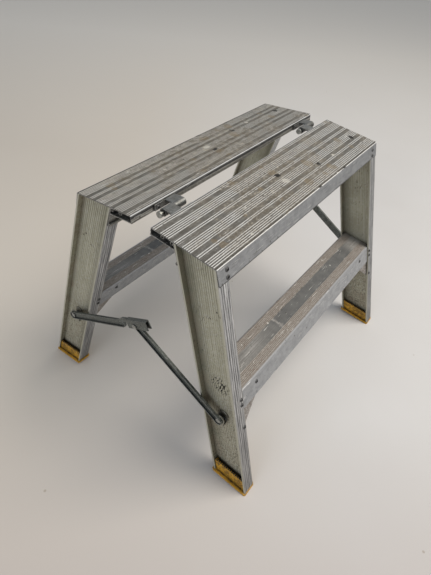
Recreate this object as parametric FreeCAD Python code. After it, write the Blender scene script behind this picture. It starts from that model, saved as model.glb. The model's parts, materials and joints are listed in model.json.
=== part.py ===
import FreeCAD, Part
import math
import os

os.makedirs("parts", exist_ok=True)

Vector = FreeCAD.Vector

# Aluminium trestle ladder with a step on each side: two halves, each a ribbed deck on two I-section
# stiles with one tread between them. The halves turn on two barrel hinges in the gap between the
# decks, and a folding spreader at each end limits how far they open. Millimetres and degrees.
#
# Each half is drawn level and outward along +Y from the hinge axis, which is the X axis, and is then
# tilted, raised and, for the front half, mirrored. Depth s is measured down from the deck's top.
# Offset a runs level from a stile's outer face towards the hinge, and offset d from the stile's
# outboard lips towards the middle of the ladder.

# The two halves
deck_length = 689.0
deck_width = 150.0
deck_gap = 47.0
axis_drop = 13.0
leg_height = 564.0
leg_splay = 21.5
end_splay = 3.4
tilt = 5.43
closing_travel = 22.47

# Deck extrusion: ribbed plate, hollow nose box, and a skirt over each flange of the stiles
deck_plate = 2.5
deck_skirt = 2.0
deck_skirt_drop = 33.5
inner_skirt_drop = 49.0
box_depth = 18.0
box_wall = 2.0
bead_diameter = 7.0
bead_bore = 3.0
boss_diameter = 8.0
boss_bore = 4.6
boss_slot = 2.4
hook_offset = 28.5
nose_grooves = [(3.0, 8.0), (9.5, 15.5)]
nose_groove_cut = 0.7
edge_radius = 1.5

# Grip ribs on the decks and treads
rib_height = 0.8
rib_crest = 1.4
rib_base = 2.3
rib_pitch = 4.6
rib_group_pitch = 25.2
first_group = 16.1
group_margin = 2.0
wide_group_count = 5
narrow_group_count = 2

# Stile extrusion
stile_width = 87.5
stile_depth = 32.0
flange = 4.0
web = 2.5
root_radius = 1.5
flange_groove_count = 4
flange_groove_pitch = 6.2
flange_groove_width = 2.4
flange_groove_cut = 0.5
web_groove_count = 10
web_groove_pitch = 5.5
web_groove_width = 3.4
web_groove_cut = 0.4

# Treads and their gussets
tread_drop = 288.0
tread_plate = 2.5
tread_skirt = 2.0
tread_skirt_height = 48.0
tread_edge_radius = 4.0
tread_smooth_share = 0.36
tread_rib_pitch = 3.5
end_gap = 1.5
gusset_plate = 2.5
gusset_reach = 97.0
gusset_drop = 97.0
gusset_side = 32.0
gusset_toe = 12.0
gusset_lip = 7.0
gusset_gap = 1.0

# Feet
pad_thickness = 5.0
pad_side_overhang = 4.0
pad_inner_overhang = 4.0
pad_outer_overhang = 0.5
pad_corner = 4.0
upright_height = 32.0
upright_inset = 4.0
upright_wall = 3.0
foot_clearance = 0.2
foot_hole = 5.0
sole_groove_count = 5
sole_groove_pitch = 16.0
sole_groove_width = 3.0
sole_groove_cut = 1.5

# Rivets
rivet_diameter = 4.8
rivet_head = 9.5
rivet_head_height = 2.0
rivet_head_edge = 0.5
rivet_recess = 5.4
rivet_recess_cut = 1.5
rivet_tail = 6.6
rivet_tail_height = 2.0
rivet_from_web = 9.25
skirt_rivet_first = 12.5
skirt_rivet_pitch = 14.0
inner_rivet_first = 16.0
inner_rivet_pitch = 18.0
gusset_rivet_end = 9.0

# Barrel hinges
hinge_inset = 78.5
hinge_offset = 10.0
knuckle_diameter = 17.0
knuckle_length = 29.0
knuckle_gap = 0.5
pin_diameter = 8.0
running_clearance = 0.05
pin_head_diameter = 14.0
pin_head_height = 4.0
pin_head_standoff = 7.5
pin_end_height = 1.4
washer_diameter = 12.0
washer_thickness = 1.5
side_clearance = 0.2
strap_thickness = 3.0
leaf_drop = 13.0
leaf_rivet_pitch = 40.0

# Spreaders
pivot_drop = 367.5
link_plate = 2.0
link_width = 20.0
link_channel = 6.0
bracket_plate = 2.5
bracket_clearance = 0.3
bracket_standout = 1.8
bracket_half_width = 12.5
bracket_depth = 19.0
bracket_rivet_side = 6.0
bracket_rivet_drop = 6.0
pivot_diameter = 8.0
pivot_head_diameter = 13.0
pivot_head_height = 2.4
saddle_back = 25.0
saddle_front = 43.5
saddle_height = 22.0
saddle_inner_space = 0.5
saddle_outer_space = 0.5
saddle_clearance = 4.0
neck_end = 60.0
neck_height = 4.0
link_one_start = 42.0
middle_head_diameter = 13.0
middle_head_height = 2.5

# Worked out from the sizes above
lean_y = math.tan(math.radians(leg_splay))
lean_x = math.tan(math.radians(end_splay))
slant = 1 / math.cos(math.radians(leg_splay))
nose = deck_gap / 2
outer_edge = nose + deck_width
plate_under = rib_height + deck_plate
stile_face = outer_edge - deck_skirt * slant
span = stile_width * slant
flange_a = flange * slant
web_out = (stile_depth - web) / 2
web_in = (stile_depth + web) / 2
rivet_inset = web_in + rivet_from_web
leg_direction = Vector(lean_x, lean_y, -1)
flange_normal = Vector(0, 1, lean_y).normalize()
web_normal = Vector(1, 0, lean_x).normalize()
sole_drop = leg_height + pad_thickness
hinge_spacing = deck_length - 2 * hinge_inset
X = Vector(1, 0, 0)
Y = Vector(0, 1, 0)


def height(s):
    """Height above the hinge axis of a point at depth s."""
    return axis_drop - s


def stile_y(s, a):
    """Y of a point at depth s and offset a from the stiles' outer face."""
    return stile_face + lean_y * s - a


def stile_x(s, d):
    """X of a point at depth s and offset d inward from the outboard lips of the right-hand stile."""
    return deck_length / 2 + lean_x * s - d


def prism(points, along):
    """Closed outline of points extruded by the vector along."""
    return Part.Face(Part.makePolygon(points + [points[0]])).extrude(along)


def lengthwise(outline, x_from, x_to):
    """Outline of (y, s) points extruded along the ladder's length."""
    points = [Vector(x_from, y, height(s)) for y, s in outline]
    return prism(points, Vector(x_to - x_from, 0, 0))


def on_flange(outline, a_from, a_to):
    """Plate parallel to the flanges: outline of (x, s) points, from offset a_from to a_to."""
    points = [Vector(x, stile_y(s, a_from), height(s)) for x, s in outline]
    return prism(points, Vector(0, a_from - a_to, 0))


def down_leg(outline, s_from, s_to):
    """Level outline of (d, a) points extruded down the stile's own direction."""
    points = [Vector(stile_x(s_from, d), stile_y(s_from, a), height(s_from)) for d, a in outline]
    return prism(points, leg_direction * (s_to - s_from))


def crosswise(outline, y_from, y_to):
    """Outline of (x, s) points extruded across the ladder."""
    points = [Vector(x, y_from, height(s)) for x, s in outline]
    return prism(points, Vector(0, y_to - y_from, 0))


def rectangle(u_from, u_to, v_from, v_to):
    return [(u_from, v_from), (u_to, v_from), (u_to, v_to), (u_from, v_to)]


def rod(x_from, x_to, radius, y=0.0, z=0.0):
    """Cylinder along X."""
    return Part.makeCylinder(radius, x_to - x_from, Vector(x_from, y, z), X)


def fuse(shapes):
    return shapes[0].multiFuse(shapes[1:]).removeSplitter()


def rivet(seat, outward, grip, tail=True):
    """Domed blind rivet with its head on seat, and the shank that its hole is cut with."""
    shank = rivet_diameter / 2
    head = rivet_head / 2
    recess = rivet_recess / 2
    floor = rivet_head_height - rivet_recess_cut
    rise = (rivet_head_height + rivet_head_edge) / 2 + rivet_head_edge / 2
    dome = Part.Arc(Vector(head, 0, rivet_head_edge), Vector((head + recess) / 2, 0, rise),
                    Vector(recess, 0, rivet_head_height)).toShape()
    corners = [(recess, rivet_head_height), (recess, floor), (0, floor), (0, -grip)]
    if tail:
        end = -grip - rivet_tail_height
        corners[-1] = (0, end)
        corners += [(rivet_tail / 2, end), (rivet_tail / 2, -grip)]
    corners += [(shank, -grip), (shank, 0), (head, 0), (head, rivet_head_edge)]
    line = Part.makePolygon([Vector(r, 0, z) for r, z in corners])
    profile = Part.Face(Part.Wire([dome] + line.Edges))
    turned = profile.revolve(Vector(0, 0, 0), Vector(0, 0, 1), 360)
    turned.Placement = FreeCAD.Placement(seat, FreeCAD.Rotation(Vector(0, 0, 1), outward))
    hole = Part.makeCylinder(shank, grip, seat - outward * grip, outward)
    return turned, hole


def ends(shape):
    """The right-hand piece and its mirror image at the left end."""
    return [shape, shape.mirror(Vector(0, 0, 0), X)]


def drilled(shape, holes):
    return shape.cut(Part.makeCompound(holes))


def rib_centres(from_edge, width):
    """Y of each grip rib on a plate of this width, for a pattern that starts at from_edge."""
    centres = []
    for group in range(int(width / rib_group_pitch) + 1):
        middle = first_group + group * rib_group_pitch
        count = narrow_group_count if group % 2 else wide_group_count
        if middle + count * rib_pitch / 2 + group_margin <= width:
            for rib in range(count):
                centres.append(from_edge - middle - (rib - (count - 1) / 2) * rib_pitch)
    return centres


def ribbed_plate(y_outer, y_inner, top, thickness, centres, inner_lean):
    """Outline of a plate from y_outer to y_inner with ribs that reach depth top.

    Its outer end follows the legs, and its inner end moves outward by inner_lean in its thickness."""
    surface = top + rib_height
    outline = [(y_outer, surface)]
    for centre in centres:
        outline += [(centre + rib_base / 2, surface), (centre + rib_crest / 2, top)]
        outline += [(centre - rib_crest / 2, top), (centre - rib_base / 2, surface)]
    under = surface + thickness
    return outline + [(y_inner, surface), (y_inner + inner_lean, under),
                      (y_outer + lean_y * thickness, under)]


def rounded(shape, radius, chosen):
    """Fillet the edges for which chosen(edge) is true."""
    return shape.makeFillet(radius, [edge for edge in shape.Edges if chosen(edge)])


def along_x(edge, y, s):
    """True for an edge that runs along X at y and depth s."""
    return all(abs(v.Y - y) < 0.01 and abs(v.Z - height(s)) < 0.01 for v in edge.Vertexes)


def c_boss(y, s, x_from, x_to, diameter, bore):
    """Open screw channel along X, slotted on its lower side."""
    outer = rod(x_from, x_to, diameter / 2, y, height(s))
    inner = rod(x_from, x_to, bore / 2, y, height(s))
    slot = lengthwise(rectangle(y - boss_slot / 2, y + boss_slot / 2, s, s + diameter), x_from, x_to)
    return outer.cut(inner).cut(slot), inner.fuse(slot)


def make_deck():
    """One deck: a single extrusion, open at both ends."""
    x_from = -deck_length / 2
    x_to = deck_length / 2
    skirt_a = deck_skirt * slant
    top_corner = outer_edge + lean_y * rib_height
    ribs = rib_centres(outer_edge, deck_width)
    plate = lengthwise(ribbed_plate(top_corner, nose, 0, deck_plate, ribs, 0), x_from, x_to)
    outer_skirt = lengthwise([(stile_y(rib_height, -skirt_a), rib_height),
                              (stile_y(deck_skirt_drop, -skirt_a), deck_skirt_drop),
                              (stile_y(deck_skirt_drop, 0), deck_skirt_drop),
                              (stile_y(rib_height, 0), rib_height)], x_from, x_to)
    outer_skirt = rounded(outer_skirt, edge_radius, lambda e: along_x(e, top_corner, rib_height))
    plate = rounded(plate, edge_radius, lambda e: along_x(e, top_corner, rib_height))
    plate = rounded(plate, edge_radius, lambda e: along_x(e, nose, rib_height))
    inner_skirt = lengthwise([(stile_y(rib_height + edge_radius, span), rib_height + edge_radius),
                              (stile_y(inner_skirt_drop, span), inner_skirt_drop),
                              (stile_y(inner_skirt_drop, span + skirt_a), inner_skirt_drop),
                              (stile_y(rib_height + edge_radius, span + skirt_a), rib_height + edge_radius)],
                             x_from, x_to)
    nose_wall = lengthwise(rectangle(nose, nose + box_wall, rib_height + edge_radius, box_depth),
                           x_from, x_to)
    box_floor = lengthwise([(nose, box_depth - box_wall), (nose, box_depth),
                            (stile_y(box_depth, span + skirt_a), box_depth),
                            (stile_y(box_depth - box_wall, span + skirt_a), box_depth - box_wall)],
                           x_from, x_to)
    bead_s = inner_skirt_drop - bead_diameter / 2
    bead_y = stile_y(bead_s, span + skirt_a) - bead_diameter / 2 + deck_skirt / 2
    bead = rod(x_from, x_to, bead_diameter / 2, bead_y, height(bead_s))
    bead_hole = rod(x_from, x_to, bead_bore / 2, bead_y, height(bead_s))
    boss_s = plate_under + boss_diameter / 2 - deck_skirt / 2
    boss_y = stile_y(boss_s, span + skirt_a) - boss_diameter / 2 + deck_skirt / 2
    corner_boss, corner_hole = c_boss(boss_y, boss_s, x_from, x_to, boss_diameter, boss_bore)
    hook, hook_hole = c_boss(nose + hook_offset, boss_s, x_from, x_to, boss_diameter, boss_bore)
    cuts = [bead_hole, corner_hole, hook_hole]
    for s_from, s_to in nose_grooves:
        cuts.append(lengthwise(rectangle(nose - nose_groove_cut, nose + nose_groove_cut, s_from, s_to),
                               x_from, x_to))
    deck = fuse([plate, outer_skirt, inner_skirt, nose_wall, box_floor, bead, corner_boss, hook])
    return deck.cut(Part.makeCompound(cuts)).removeSplitter()


def grooved(start, end, count, pitch, width, cut):
    """Outline points from start towards end with shallow grooves cut to the left of that direction."""
    length = math.dist(start, end)
    along = ((end[0] - start[0]) / length, (end[1] - start[1]) / length)
    points = [start]
    for index in range(count):
        middle = length / 2 + (index - (count - 1) / 2) * pitch
        for at, sunk in [(-width, 0), (-width, cut), (width, cut), (width, 0)]:
            reach = middle + at / 2
            points.append((start[0] + along[0] * reach - along[1] * sunk,
                           start[1] + along[1] * reach + along[0] * sunk))
    return points


def make_stile():
    """Right-hand stile of the level half: an I-section cut level at both ends."""
    flange_lines = (flange_groove_count, flange_groove_pitch, flange_groove_width, flange_groove_cut)
    web_lines = (web_groove_count, web_groove_pitch, web_groove_width, web_groove_cut)
    outline = grooved((0, 0), (stile_depth, 0), *flange_lines)
    outline += [(stile_depth, 0), (stile_depth, flange_a)]
    outline += grooved((web_in, flange_a), (web_in, span - flange_a), *web_lines)
    outline += [(web_in, span - flange_a), (stile_depth, span - flange_a)]
    outline += grooved((stile_depth, span), (0, span), *flange_lines)
    outline += [(0, span), (0, span - flange_a)]
    outline += grooved((web_out, span - flange_a), (web_out, flange_a), *web_lines)
    outline += [(web_out, flange_a), (0, flange_a)]
    stile = down_leg(outline, plate_under, leg_height)
    roots = [(d, a) for d in (web_out, web_in) for a in (flange_a, span - flange_a)]

    def at_root(edge):
        top = max(edge.Vertexes, key=lambda v: v.Z)
        low = min(edge.Vertexes, key=lambda v: v.Z)
        spot = [(stile_x(plate_under, d), stile_y(plate_under, a)) for d, a in roots]
        return top.Z - low.Z > flange and any(math.dist((top.X, top.Y), p) < 0.01 for p in spot)

    return rounded(stile, root_radius, at_root)


def make_tread():
    """One tread: a channel with ribbed bands and a smooth middle, its ends cut to the webs' lean."""
    low = tread_drop + tread_skirt_height
    skirt_a = tread_skirt * slant
    outer_a = flange_a
    inner_a = span - flange_a
    top = tread_drop + rib_height
    under = top + tread_plate
    width = inner_a - outer_a
    reach = stile_x(low, 0)
    y_outer = stile_y(top, outer_a)
    y_inner = stile_y(top, inner_a)
    middle = (y_outer + y_inner) / 2
    smooth = width * tread_smooth_share / 2
    band = (width / 2 - smooth - 1.5 * tread_edge_radius) / tread_rib_pitch
    centres = []
    for side in (1, -1):
        for rib in range(int(band)):
            centres.append(middle + side * (smooth + rib_base / 2 + rib * tread_rib_pitch))
    centres.sort(reverse=True)
    plate = lengthwise(ribbed_plate(y_outer, y_inner, tread_drop, tread_plate, centres,
                                    lean_y * tread_plate), -reach, reach)
    skirts = []
    for face_a, back_a in ((outer_a, outer_a + skirt_a), (inner_a, inner_a - skirt_a)):
        skirts.append(lengthwise([(stile_y(top, face_a), top), (stile_y(low, face_a), low),
                                  (stile_y(low, back_a), low), (stile_y(top, back_a), top)],
                                 -reach, reach))
    tread = fuse([plate] + skirts)
    tread = rounded(tread, tread_edge_radius,
                    lambda e: along_x(e, y_outer, top) or along_x(e, y_inner, top))
    ends_at = web_in + end_gap
    room = [(stile_x(s, ends_at), s) for s in (tread_drop - rib_height, low + rib_height)]
    room += [(-x, s) for x, s in reversed(room)]
    return tread.common(crosswise(room, stile_y(tread_drop, span), stile_y(low, 0)))


def make_gusset(outer):
    """Gusset between the tread's skirt and the flange, joggled over the edge of the skirt."""
    top = tread_drop + rib_height + tread_plate + gusset_gap
    low = tread_drop + gusset_drop
    skirt_low = tread_drop + tread_skirt_height + gusset_gap
    skirt_a = tread_skirt * slant
    plate_a = gusset_plate * slant

    def offset(a):
        return a if outer else span - a

    def edge_x(s):
        return stile_x(s, web_in + end_gap)

    left = stile_x(tread_drop, 0) - gusset_reach - gusset_gap
    toe = edge_x(low) - gusset_toe
    shoulder = top + gusset_side
    front = flange_a + skirt_a
    sheet = on_flange([(left, top), (edge_x(top), top), (edge_x(low), low), (toe, low), (left, shoulder)],
                      offset(front), offset(front + plate_a))
    step = on_flange([(toe, skirt_low), (edge_x(skirt_low), skirt_low), (edge_x(low), low), (toe, low)],
                     offset(flange_a), offset(front))
    fold = (toe - left, low - shoulder)
    thick = gusset_plate / math.hypot(*fold)
    inward = (fold[1] * thick, -fold[0] * thick)
    lip = on_flange([(left, shoulder), (toe, low), (toe + inward[0], low + inward[1]),
                     (left + inward[0], shoulder + inward[1])],
                    offset(front), offset(front + plate_a + gusset_lip * slant))
    return fuse([sheet, step, lip])


def make_foot():
    """Moulded foot: a sole pad with a hollow plug that fills each recess of the stile."""
    pad = down_leg(rectangle(-pad_side_overhang, stile_depth + pad_side_overhang,
                             -pad_outer_overhang, span + pad_inner_overhang), leg_height, sole_drop)
    pad = rounded(pad, pad_corner, lambda e: max(v.Z for v in e.Vertexes) - min(
        v.Z for v in e.Vertexes) > pad_thickness / 2)
    a_from = flange_a + foot_clearance
    a_to = span - a_from
    top = leg_height - upright_height
    plug = [pad]
    for mirrored in (False, True):
        def across(d):
            return stile_depth - d if mirrored else d
        face = across(upright_inset)
        back = across(upright_inset + upright_wall)
        deep = across(web_out - end_gap)
        plug.append(down_leg(rectangle(face, back, a_from, a_to), top, leg_height))
        plug.append(down_leg(rectangle(face, deep, a_from, a_from + upright_wall), top, leg_height))
        plug.append(down_leg(rectangle(face, deep, a_to - upright_wall, a_to), top, leg_height))
    foot = fuse(plug)
    hole_s = leg_height - upright_height / 2
    hole = rod(stile_x(hole_s, stile_depth), stile_x(hole_s, web_in), foot_hole / 2,
               stile_y(hole_s, span / 2), height(hole_s))
    cuts = [hole]
    for index in range(sole_groove_count):
        middle = span / 2 + (index - (sole_groove_count - 1) / 2) * sole_groove_pitch
        cuts.append(down_leg(rectangle(-stile_depth, 2 * stile_depth, middle - sole_groove_width / 2,
                                       middle + sole_groove_width / 2),
                             sole_drop - sole_groove_cut, sole_drop + sole_groove_cut))
    return foot.cut(Part.makeCompound(cuts))


def stile_seat(s, a, d=rivet_inset):
    return Vector(stile_x(s, d), stile_y(s, a), height(s))


def skirt_seat(x, s, a):
    return Vector(x, stile_y(s, a), height(s))


def leaf_span(front):
    """X range of a leaf's knuckle, measured from the hinge's own place."""
    start = hinge_offset - knuckle_length
    if front:
        return start, start + knuckle_length
    return start + knuckle_length + knuckle_gap, start + 2 * knuckle_length + knuckle_gap


hinge_from = leaf_span(True)[0]
hinge_to = leaf_span(False)[1]
leaf_rivet_x = [(hinge_from + hinge_to + leaf_rivet_pitch * side) / 2 for side in (-1, 1)]
leaf_rivet_s = axis_drop - knuckle_diameter / 2 + (strap_thickness + leaf_drop) / 2


def make_leaf(front, x):
    """Leaf of one half: its knuckle, the strap over the barrel and the flange on the deck's nose."""
    low, high = leaf_span(front)
    radius = knuckle_diameter / 2
    bore = pin_diameter / 2 + running_clearance
    strap_low = axis_drop - radius + strap_thickness
    knuckle = rod(x + low, x + high, radius)
    own = lengthwise(rectangle(0, nose, axis_drop - radius, strap_low), x + low, x + high)
    plate = lengthwise(rectangle(nose - strap_thickness, nose, axis_drop - radius,
                                 axis_drop - radius + leaf_drop), x + hinge_from, x + hinge_to)
    return fuse([knuckle, own, plate]).cut(rod(x + low, x + high, bore))


def make_hinge_pin(x):
    start = x + hinge_from - pin_head_standoff - pin_head_height
    end = x + hinge_to + side_clearance + washer_thickness
    head = rod(start, start + pin_head_height, pin_head_diameter / 2)
    shaft = rod(start, end + pin_end_height, pin_diameter / 2)
    return fuse([head, shaft])


def make_hinge_washer(x):
    start = x + hinge_to + side_clearance
    ring = rod(start, start + washer_thickness, washer_diameter / 2)
    return ring.cut(rod(start, start + washer_thickness, pin_diameter / 2))


# Spreader geometry. The links lie in a line when the halves are level, and fold upward as they close.
pivot_y = stile_y(pivot_drop, span / 2)
pivot_z = height(pivot_drop)
pivot_radius = math.hypot(pivot_y, pivot_z)
pivot_angle = math.degrees(math.atan2(pivot_y, -pivot_z))
tab_out = stile_x(pivot_drop, 0) + bracket_standout
tab_in = tab_out - bracket_plate
link_in = tab_out + bracket_clearance
link_face = link_in + link_plate
link_out = link_in + link_channel
rest_y = pivot_radius * math.sin(math.radians(pivot_angle - tilt))
rest_z = -pivot_radius * math.cos(math.radians(pivot_angle - tilt))
fold = math.degrees(math.acos(rest_y / pivot_y))
middle_z = rest_z + pivot_y * math.sin(math.radians(fold))


def make_bracket():
    """U-shaped bracket on the right-hand stile's web that carries the spreader's pivot past the lips."""
    top = pivot_drop - bracket_half_width
    low = pivot_drop + bracket_depth
    shelf = low - bracket_plate

    def web_x(s):
        return stile_x(s, web_out)

    profile = [(web_x(top), top), (web_x(top) + bracket_plate, top), (web_x(shelf) + bracket_plate, shelf),
               (tab_in, shelf), (tab_in, top), (tab_out, top), (tab_out, low), (web_x(low), low)]
    strip = crosswise(profile, pivot_y - bracket_half_width, pivot_y + bracket_half_width)
    x_from = web_x(top) - web
    round_top = rod(x_from, tab_out, bracket_half_width, pivot_y, pivot_z)
    below = lengthwise(rectangle(pivot_y - bracket_half_width, pivot_y + bracket_half_width, pivot_drop,
                                 low), x_from, tab_out)
    hole = rod(tab_in, tab_out, pivot_diameter / 2 + running_clearance, pivot_y, pivot_z)
    return strip.common(round_top.fuse(below)).cut(hole)


def link_strip(start, end, radius, x_from, x_to):
    """Round-ended strip in a link's own frame: the pivot at the origin and the link along -Y."""
    body = Part.makeBox(x_to - x_from, end - start, 2 * radius, Vector(x_from, -end, -radius))
    return body.multiFuse([rod(x_from, x_to, radius, -start), rod(x_from, x_to, radius, -end)])


def link_pan(start, end):
    """Pressed channel with its lip carried round both ends."""
    outside = link_strip(start, end, link_width / 2, link_in, link_out)
    inside = link_strip(start, end, link_width / 2 - link_plate, link_face, link_out)
    return outside.cut(inside).removeSplitter()


def link_hole(y):
    return rod(link_in, link_out + saddle_outer_space, pivot_diameter / 2 + running_clearance, y)


def make_front_link():
    """Plain channel link from its pivot to the middle rivet."""
    length = pivot_y
    return link_pan(0, length).cut(link_hole(0)).cut(link_hole(-length))


def make_back_link():
    """Channel link whose neck carries the saddle that the front link folds out of."""
    length = pivot_y
    end = length - link_one_start - link_width / 2
    pieces = [link_pan(0, end)]
    roof_low = link_width / 2 + saddle_clearance
    roof_high = roof_low + link_plate
    wall_low = roof_high - saddle_height
    inner = link_in - saddle_inner_space
    outer = link_out + saddle_outer_space
    y_from = -length - saddle_front
    saddle_length = saddle_front + saddle_back
    for x, wide, z, high in ((inner - link_plate, outer - inner + 2 * link_plate, roof_low, link_plate),
                             (inner - link_plate, link_plate, wall_low, saddle_height),
                             (outer, link_plate, wall_low, saddle_height)):
        pieces.append(Part.makeBox(wide, saddle_length, high, Vector(x, y_from, z)))
    neck_from = saddle_back - link_plate
    neck_low = link_width / 2 - neck_height
    neck = [(neck_from, roof_high), (link_one_start + link_plate, roof_high),
            (neck_end, link_width / 2), (neck_end, neck_low), (neck_from, neck_low)]
    points = [Vector(link_in, r - length, z) for r, z in neck]
    pieces.append(prism(points, Vector(link_channel, 0, 0)))
    shape = fuse(pieces).cut(link_hole(0))
    hole = pivot_diameter / 2 + running_clearance
    return shape.cut(rod(inner - link_plate, outer + link_plate, hole, -length))


def make_middle_rivet():
    """Rivet through the saddle's walls and the front link."""
    inner = link_in - saddle_inner_space
    outer = link_out + saddle_outer_space
    head = middle_head_diameter / 2
    shank = rod(inner - link_plate - middle_head_height, outer + link_plate + middle_head_height,
                pivot_diameter / 2)
    heads = [rod(inner - link_plate - middle_head_height, inner - link_plate, head),
             rod(outer + link_plate, outer + link_plate + middle_head_height, head)]
    return fuse([shank] + heads)


def make_pivot_rivet():
    """Rivet through the bracket and the link, headed inside the link's channel."""
    head = pivot_head_diameter / 2
    return fuse([rod(tab_in - pivot_head_height, link_face + pivot_head_height, pivot_diameter / 2),
                 rod(tab_in - pivot_head_height, tab_in, head),
                 rod(link_face, link_face + pivot_head_height, head)])


def make_open_pivot_rivet():
    """Outer part of a pivot rivet, which ends at the link's back."""
    return fuse([rod(link_in, link_face + pivot_head_height, pivot_diameter / 2),
                 rod(link_face, link_face + pivot_head_height, pivot_head_diameter / 2)])


def make_rivet_tail():
    """Inner part of a pivot rivet, which fills the bracket's hole."""
    return fuse([rod(tab_in - pivot_head_height, tab_out, pivot_diameter / 2 + running_clearance),
                 rod(tab_in - pivot_head_height, tab_in, pivot_head_diameter / 2)])


# The ladder stands on the outer edges of its soles
sole_edge = Vector(0, stile_y(sole_drop, -pad_outer_overhang), height(sole_drop))
lean = math.radians(tilt)
axis_height = sole_edge.y * math.sin(lean) - sole_edge.z * math.cos(lean)
raise_up = Vector(0, 0, axis_height)


def stand(shape, front):
    """Tilt a piece of the level half about the hinge axis and raise it to its place."""
    placed = shape.copy()
    placed.rotate(Vector(0, 0, 0), X, -tilt)
    if front:
        placed = placed.mirror(Vector(0, 0, 0), Y)
    placed.translate(raise_up)
    return placed


def swing(shape, front):
    """Fold a link about its pivot and carry it to the pivot's place."""
    placed = shape.copy()
    placed.rotate(Vector(0, 0, 0), X, -fold)
    placed.translate(Vector(0, rest_y, rest_z))
    if front:
        placed = placed.mirror(Vector(0, 0, 0), Y)
    placed.translate(raise_up)
    return placed


def save(name, shapes):
    """Write one node, a single solid or a group of like solids."""
    shape = shapes[0] if len(shapes) == 1 else Part.makeCompound(shapes)
    shape.exportStep("parts/" + name + ".step")


def skirt_rivets():
    """Rivets from the deck's skirts into the stile's flanges, with the holes of each kind."""
    pairs = []
    skirt_a = deck_skirt * slant
    for row in range(2):
        s = skirt_rivet_first + row * skirt_rivet_pitch
        pairs.append(rivet(stile_seat(s, -skirt_a), flange_normal, deck_skirt + flange))
        s = inner_rivet_first + row * inner_rivet_pitch
        pairs.append(rivet(stile_seat(s, span - flange_a), flange_normal, deck_skirt + flange, tail=False))
    return pairs


def tread_rivets():
    """Rivets from the stile's flanges into the tread's skirts."""
    pairs = []
    grip = flange + tread_skirt
    for row in range(2):
        s = tread_drop + skirt_rivet_first + row * skirt_rivet_pitch
        pairs.append(rivet(stile_seat(s, 0), flange_normal, grip + gusset_plate))
        pairs.append(rivet(stile_seat(s, span), flange_normal * -1, grip + gusset_plate))
    return pairs


def gusset_rivets():
    """Rivets from the tread's skirts and the stile's flanges into the gussets."""
    pairs = []
    x = stile_x(tread_drop, 0) - gusset_reach + gusset_rivet_end
    s = tread_drop + (skirt_rivet_first + skirt_rivet_pitch) * 0.65
    low = tread_drop + gusset_drop - gusset_rivet_end
    grip = flange + tread_skirt + gusset_plate
    pairs.append(rivet(skirt_seat(x, s, flange_a), flange_normal, tread_skirt + gusset_plate))
    pairs.append(rivet(skirt_seat(x, s, span - flange_a), flange_normal * -1, tread_skirt + gusset_plate))
    pairs.append(rivet(stile_seat(low, 0), flange_normal, grip))
    pairs.append(rivet(stile_seat(low, span), flange_normal * -1, grip))
    return pairs


def bracket_rivets():
    """Rivets from the bracket's foot into the stile's web."""
    pairs = []
    s = pivot_drop + bracket_rivet_drop
    for side in (-1, 1):
        y = pivot_y + side * bracket_rivet_side
        seat = Vector(stile_x(s, web_out) + bracket_plate, y, height(s))
        pairs.append(rivet(seat, web_normal, bracket_plate + web))
    return pairs


def leaf_rivets():
    """Rivets from both leaves' flanges into the nose of one deck."""
    pairs = []
    for place in (-hinge_spacing / 2, hinge_spacing / 2):
        for offset in leaf_rivet_x:
            seat = Vector(place + offset, nose - strap_thickness, height(leaf_rivet_s))
            pairs.append(rivet(seat, Y * -1, strap_thickness + box_wall))
    return pairs


deck_pairs = skirt_rivets()
tread_pairs = tread_rivets()
gusset_pairs = gusset_rivets()
bracket_pairs = bracket_rivets()
leaf_pairs = leaf_rivets()


def heads_of(pairs):
    return [body for body, hole in pairs]


def holes_of(pairs):
    return [hole for body, hole in pairs]


def both_ends(shapes):
    return [end for shape in shapes for end in ends(shape)]


deck = drilled(make_deck(), both_ends(holes_of(deck_pairs)) + holes_of(leaf_pairs))
stile = drilled(make_stile(), holes_of(deck_pairs + tread_pairs + gusset_pairs + bracket_pairs))
tread = drilled(make_tread(), both_ends(holes_of(tread_pairs + gusset_pairs)))
gussets = {}
for level in ("outer", "inner"):
    gussets[level] = drilled(make_gusset(level == "outer"), holes_of(tread_pairs + gusset_pairs))
foot = make_foot()
bracket = drilled(make_bracket(), holes_of(bracket_pairs))
side_names = ("right", "left")

for front in (False, True):
    half = "front" if front else "back"
    save(half + "_deck", [stand(deck, front)])
    save(half + "_tread", [stand(tread, front)])
    for name, piece in (("stile", stile), ("foot", foot), ("spreader_bracket", bracket),
                        ("outer_gusset", gussets["outer"]), ("inner_gusset", gussets["inner"])):
        for side, end in zip(side_names, ends(piece)):
            save("_".join((half, side, name)), [stand(end, front)])
    for name, pairs in (("deck_rivets", deck_pairs), ("tread_rivets", tread_pairs),
                        ("gusset_rivets", gusset_pairs), ("bracket_rivets", bracket_pairs)):
        save(half + "_" + name, [stand(body, front) for body in both_ends(heads_of(pairs))])
    save(half + "_hinge_rivets", [stand(body, front) for body in heads_of(leaf_pairs)])
    for side, place in zip(side_names, (hinge_spacing / 2, -hinge_spacing / 2)):
        leaf = drilled(make_leaf(front, place), holes_of(leaf_pairs))
        save("_".join((half, side, "hinge_leaf")), [stand(leaf, front)])

for side, place in zip(side_names, (hinge_spacing / 2, -hinge_spacing / 2)):
    for name, piece in (("hinge_pin", make_hinge_pin(place)), ("hinge_washer", make_hinge_washer(place))):
        piece.translate(raise_up)
        save(side + "_" + name, [piece])

for name, piece, front in (("back_link", make_back_link(), False), ("front_link", make_front_link(), True),
                           ("back_pivot_rivet", make_pivot_rivet(), False),
                           ("front_pivot_rivet", make_open_pivot_rivet(), True)):
    for side, end in zip(side_names, ends(swing(piece, front))):
        save(side + "_" + name, [end])

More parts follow.
